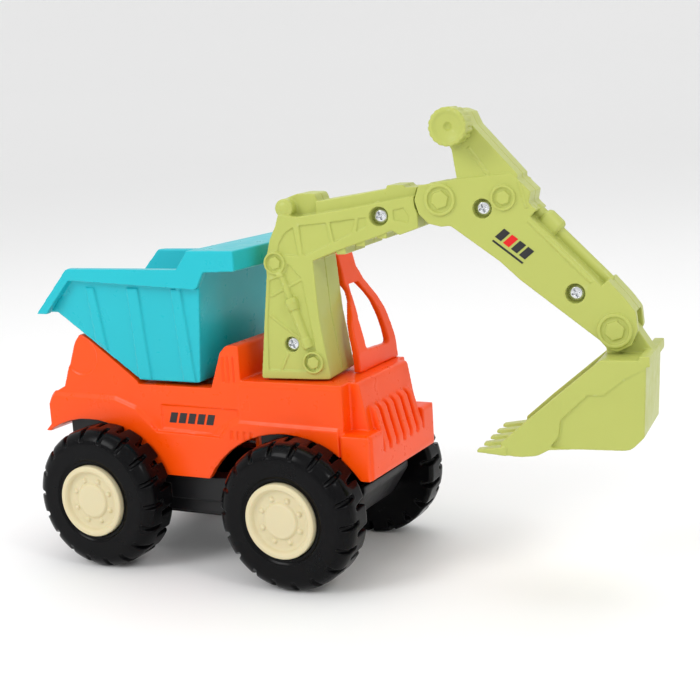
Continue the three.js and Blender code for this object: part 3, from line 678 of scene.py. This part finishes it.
def stick_mark():
    """Blocks in two colours where the toy carries a printed label, running down the arm."""
    drop, run = 10.2, 13.1
    turn = Matrix.Rotation(math.atan2(drop, run), 4, "Y")
    matrix = ARM @ Matrix.Translation(Vector((79.0, 0, 131.2)) * MM) @ turn
    blocks = [(i * 3.6, 0.5, 2.7, 4.4, 1.0) for i in range(4) if i != 1]
    decal("stick_mark", blocks, matrix, -STICK_FACE - 0.02, "stick", BLACK)
    decal("stick_mark_red", [(3.6, 0.5, 2.7, 4.4, 1.0)], matrix, -STICK_FACE - 0.02, "stick", RED)
    decal("stick_mark_line", [(0, -1.4, 13.6, 0.7, 0.2)], matrix, -STICK_FACE - 0.02, "stick", BLACK)


def span(node, matrix):
    """The least and greatest corner of a node, in millimetres of the frame given by `matrix`."""
    inverse = matrix.inverted()
    corners = [inverse @ v.co / MM for v in NODES[node].data.vertices]
    low = Vector([min(corner[axis] for corner in corners) for axis in range(3)])
    high = Vector([max(corner[axis] for corner in corners) for axis in range(3)])
    return low, high


def knob():
    grip = copy_of("grip", "lever_knob")
    low, high = span("lever_knob", ARM)
    x, z = (low.x + high.x) / 2, (low.z + high.z) / 2
    dish = Solids(ARM)
    dish.rod((x, low.y - 0.6, z), (x, low.y + 1.1, z), ((0, 5.9), (0.4, 5.4), (0.75, 4.4), (1, 2.2)), 40)
    dish.rod((x, low.y, z), (x, low.y + 2.1, z), ((0, 2), (0.6, 1.6), (1, 0.8)), 24)
    face = Solids(ARM)
    face.rod((x, low.y, z), (x, low.y + 2.8, z), ((0, 6.3), (0.2, 6.8), (1, 6.9)), 48)
    join(grip, face.mesh("face"))
    cut(grip, dish.mesh("dish"))
    finish_piece(moulded(grip, 0.2, 3, 0.5), "lever_knob", OLIVE)


def bucket():
    scoop = copy_of("scoop", "bucket")
    step = Solids(ARM)
    outline = [
        (134.4, 87.2), (126, 82.6), (118.5, 76.6), (113, 76.6), (103.4, 67.4), (102.6, 61.4),
        (99.6, 57.6), (128, 55), (135, 62),
    ]
    for side in (-1, 1):
        step.plate(outline, side * 17.65, side * 20)
    cut(scoop, step.mesh("step"))
    finish_piece(moulded(scoop, 0.32, 5, 0.35), "bucket", OLIVE)


# ------------------------------------------------------------------ metal parts
def screw_head(shapes, centre, axis, radius, height):
    """A pan head, its top at centre and facing along axis; the cross recess is cut into it afterwards."""
    centre, axis = Vector(centre), Vector(axis).normalized()
    shapes.rod(
        centre - axis * height, centre,
        ((0, radius), (0.45, radius), (0.75, radius * 0.9), (0.92, radius * 0.7), (1, radius * 0.45)), 40,
    )


CROSS_TURN = 0.4


def screws():
    frames = [(f"boom_screw_{i}", ARM) for i in (1, 2)] + [(f"stick_screw_{i}", ARM) for i in (1, 2)]
    for node, matrix in frames:
        least, most = span(node, matrix)
        low = least.y
        x, z = (least.x + most.x) / 2, (least.z + most.z) / 2
        shapes = Solids(matrix)
        screw_head(shapes, (x, low, z), (0, -1, 0), 2.9, 1.9)
        shapes.rod((x, low + 1.5, z), (x, low + 9, z), ((0, 1.2), (1, 1.2)), 24)
        head = link(f"{node}_skin", shapes.mesh(node))
        recess = Solids(matrix)
        for turn in (CROSS_TURN, CROSS_TURN + math.pi / 2):
            reach = Vector((math.cos(turn), math.sin(turn))) * 1.7
            slot = rib_outline((x - reach.x, z - reach.y), (x + reach.x, z + reach.y), 0.7)
            recess.plate(slot, low - 0.5, low + 1.3)
        cut(head, recess.mesh("recess"))
        finish_piece(moulded(head, 0.12, 2, 0.5), node, SCREW)


def other_nodes():
    """Hidden and small pieces keep their frame shape, with softened edges and their own finish."""
    finishes = {"screw_steel": SCREW, "axle_steel": AXLE, "olive_plastic": OLIVE, "black_plastic": BLACK}
    for node in ("front_axle", "rear_axle", "hopper_hinge_pin", "swivel_hub", "swivel_washer", "swivel_screw",
                 *[f"chassis_screw_{i}" for i in range(1, 5)]):
        obj = NODES[node]
        obj.data.materials.clear()
        obj.data.materials.append(finishes[SLOTS[node]])
        bevel = obj.modifiers.new("edges", "BEVEL")
        bevel.width = 0.15 * MM
        bevel.segments = 2
        bevel.limit_method = "ANGLE"
        for face in obj.data.polygons:
            face.use_smooth = False


body_shell()
windscreen()
chassis()
hopper()
wheels()
boom()
stick()
knob()
bucket()
screws()
other_nodes()
side_marks()
stick_mark()


# ------------------------------------------------------------------ stage, light and camera
def floor():
    material = bpy.data.materials.new("floor")
    material.use_nodes = True
    nodes, links = material.node_tree.nodes, material.node_tree.links
    shader = nodes["Principled BSDF"]
    shader.inputs["Roughness"].default_value = 0.6
    noise = nodes.new("ShaderNodeTexNoise")
    noise.inputs["Scale"].default_value = 3
    tint = nodes.new("ShaderNodeMix")
    tint.data_type = "RGBA"
    tint.inputs["A"].default_value = (0.93, 0.93, 0.93, 1)
    tint.inputs["B"].default_value = (0.97, 0.97, 0.97, 1)
    links.new(noise.outputs["Fac"], tint.inputs["Factor"])
    links.new(tint.outputs["Result"], shader.inputs["Base Color"])
    profile = [(0.02, 0), (1.2, 0), (3, 0)]
    for angle in range(10, 91, 10):
        turn = math.radians(angle)
        profile.append((3 + 2 * math.sin(turn), 2 - 2 * math.cos(turn)))
    sides = 64
    points = [
        (r * math.cos(2 * math.pi * i / sides), r * math.sin(2 * math.pi * i / sides), z)
        for r, z in profile for i in range(sides)
    ]
    faces = [tuple(range(sides))]
    for ring in range(len(profile) - 1):
        for i in range(sides):
            j = (i + 1) % sides
            faces.append((ring * sides + i, (ring + 1) * sides + i, (ring + 1) * sides + j, ring * sides + j))
    mesh = bpy.data.meshes.new("floor")
    mesh.from_pydata(points, [], faces)
    for face in mesh.polygons:
        face.use_smooth = True
    sheet = link("floor", mesh)
    sheet.data.materials.append(material)


def lamp(name, position, target, size, power):
    data = bpy.data.lights.new(name, "AREA")
    data.energy = power
    data.shape = "RECTANGLE"
    data.size, data.size_y = size
    obj = bpy.data.objects.new(name, data)
    obj.location = position
    obj.rotation_euler = (Vector(target) - Vector(position)).to_track_quat("-Z", "Y").to_euler()
    bpy.context.scene.collection.objects.link(obj)
    return obj


def lighting():
    world = bpy.data.worlds.new("studio")
    bpy.context.scene.world = world
    world.use_nodes = True
    world.node_tree.nodes["Background"].inputs["Color"].default_value = (1, 1, 1, 1)
    world.node_tree.nodes["Background"].inputs["Strength"].default_value = 0.85
    middle = (0, 0, 0.08)
    lamp("key", (-0.5, -0.9, 0.8), middle, (0.5, 0.5), 5)
    lamp("side", (0.75, -0.35, 0.75), middle, (0.22, 0.22), 1.5)
    lamp("top", (0.0, 0.3, 1.3), middle, (0.8, 0.8), 3)
    bpy.context.scene.view_settings.view_transform = "Standard"


FOCAL_LENGTH = 1.87437          # in picture widths


def camera():
    """The photograph's view: slightly above, from the right and the front, tilted a little."""
    azimuth, elevation, roll = math.radians(27.632), math.radians(10.68), math.radians(-3.302)
    distance = 516.835 * MM
    target = TRUCK @ (Vector((53.578, 0, 85.88)) * MM)
    level = math.cos(elevation)
    back = Vector((math.sin(azimuth) * level, -math.cos(azimuth) * level, math.sin(elevation)))
    right = (-back).cross(Vector((0, 0, 1))).normalized()
    up = right.cross(-back)
    rolled_right = right * math.cos(roll) + up * math.sin(roll)
    rolled_up = up * math.cos(roll) - right * math.sin(roll)
    data = bpy.data.cameras.new("camera")
    data.sensor_width = 36
    data.lens = data.sensor_width * FOCAL_LENGTH
    data.clip_start = 0.01
    obj = bpy.data.objects.new("camera", data)
    obj.matrix_world = Matrix((
        (rolled_right.x, rolled_up.x, back.x, 0),
        (rolled_right.y, rolled_up.y, back.y, 0),
        (rolled_right.z, rolled_up.z, back.z, 0),
        (0, 0, 0, 1),
    ))
    obj.location = target + back * distance
    bpy.context.scene.collection.objects.link(obj)
    bpy.context.scene.camera = obj


floor()
lighting()
camera()
